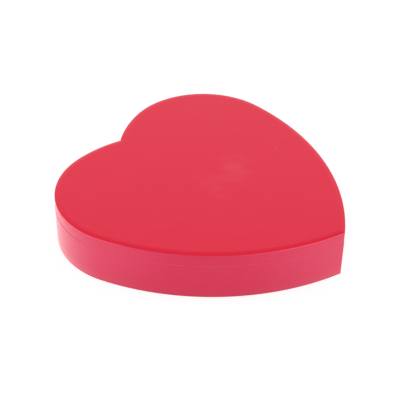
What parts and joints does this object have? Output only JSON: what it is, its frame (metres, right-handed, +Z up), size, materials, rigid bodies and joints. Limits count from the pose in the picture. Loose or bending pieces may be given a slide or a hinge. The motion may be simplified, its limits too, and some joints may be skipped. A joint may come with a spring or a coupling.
{
  "type": "music box",
  "caption": "Heart-shaped paper-covered wind-up music box with a lift-off lid, a lined tray and a pinned-cylinder movement.",
  "frame": {"origin": "centre of the outline on the table under the box", "axes": "+X across the two lobes, the heart's tip points to -Y, +Z up through the lid"},
  "size_m": [0.216, 0.2154, 0.04],
  "materials": {
    "red_paper": "soft sheen, fine ribbed",
    "greyboard": "matt",
    "liner_paper": "matt",
    "flock": "short pile",
    "clear_sheet": "clear gloss",
    "zinc_casting": "satin",
    "steel": "ground",
    "screw_steel": "bright",
    "spring_steel": "blued",
    "nickel_plate": "polished",
    "brass": "polished",
    "white_nylon": "moulded"
  },
  "bodies": {
    "tray": {"tray_wall": "greyboard", "tray_wrap": "red_paper", "riser_strip": "greyboard", "tray_floor": "greyboard", "storage_pad": "flock", "storage_lining": "flock", "partition": "flock", "cover_ledge": "flock", "clear_cover": "clear_sheet", "bedplate": "zinc_casting", "mounting_screws": "screw_steel", "barrel_pillars": "steel", "barrel_bridge": "brass", "bridge_screws": "screw_steel", "click_screw": "screw_steel", "click_spring": "steel", "cylinder_bracket": "zinc_casting", "comb": "steel", "comb_screws": "screw_steel", "governor_plate": "zinc_casting", "governor_outer_plate": "zinc_casting", "governor_frame": "zinc_casting", "bracket_screws": "screw_steel", "stop_lever_pin": "steel"},
    "lid": {"lid_top_board": "greyboard", "lid_wall": "greyboard", "lid_top_wrap": "red_paper", "lid_side_wrap": "red_paper", "lid_top_liner": "liner_paper", "lid_side_liner": "liner_paper"},
    "winding": {"winding_key": "nickel_plate", "winding_arbor": "steel", "ratchet_wheel": "steel"},
    "barrel": {"great_wheel": "brass", "barrel_drum": "nickel_plate", "barrel_cap": "nickel_plate", "mainspring": "spring_steel"},
    "cylinder": {"music_cylinder": "brass", "cylinder_pins": "steel", "cylinder_arbor": "steel", "cylinder_pinion": "steel", "cylinder_gear": "brass"},
    "first_stage": {"first_arbor": "steel", "first_wheel": "brass"},
    "second_stage": {"worm_wheel_arbor": "steel", "worm_wheel": "brass"},
    "fan": {"worm": "steel", "air_brake_fan": "white_nylon", "brake_disc": "steel"},
    "click": {"click": "steel"},
    "stop_lever": {"stop_lever": "steel"}
  },
  "joints": [
    {"name": "lid_lift", "type": "slide", "parent": "tray", "child": "lid", "axis": [0, 0, 1], "range_m": [0, 0.12]},
    {"name": "stop_lever_pivot", "type": "hinge", "parent": "tray", "child": "stop_lever", "pos_m": [0.0101, -0.0256, 0.03282], "axis": [0, -1, 0], "range_deg": [0, 12]},
    {"name": "key_wind", "type": "hinge", "parent": "tray", "child": "winding", "pos_m": [-0.0141, -0.04, 0], "axis": [0, 0, 1], "continuous": true},
    {"name": "click_pivot", "type": "hinge", "parent": "tray", "child": "click", "pos_m": [-0.0059, -0.0346, 0.0343], "axis": [0, 0, 1], "range_deg": [-6, 0], "stiffness_Nm_per_rad": 0.001, "springref_deg": 5.73},
    {"name": "barrel_spin", "type": "hinge", "parent": "tray", "child": "barrel", "pos_m": [-0.0141, -0.04, 0.0195], "axis": [0, 0, 1], "continuous": true},
    {"name": "cylinder_spin", "type": "hinge", "parent": "tray", "child": "cylinder", "pos_m": [0, -0.04, 0.0258], "axis": [1, 0, 0], "continuous": true},
    {"name": "first_stage_spin", "type": "hinge", "parent": "tray", "child": "first_stage", "pos_m": [0.0275, -0.0325, 0.0258], "axis": [1, 0, 0], "continuous": true},
    {"name": "second_stage_spin", "type": "hinge", "parent": "tray", "child": "second_stage", "pos_m": [0.02, -0.0297, 0.02107], "axis": [1, 0, 0], "continuous": true},
    {"name": "fan_spin", "type": "hinge", "parent": "tray", "child": "fan", "pos_m": [0.018, -0.0256, 0.0225], "axis": [0, 0, 1], "continuous": true}
  ],
  "couplings": [
    {"joint": "stop_lever_pivot", "follows": "lid_lift", "rad_per_m": 1.7453},
    {"joint": "cylinder_spin", "follows": "barrel_spin", "ratio": 4},
    {"joint": "first_stage_spin", "follows": "barrel_spin", "ratio": -21},
    {"joint": "second_stage_spin", "follows": "barrel_spin", "ratio": 94.5},
    {"joint": "fan_spin", "follows": "barrel_spin", "ratio": -945}
  ]
}
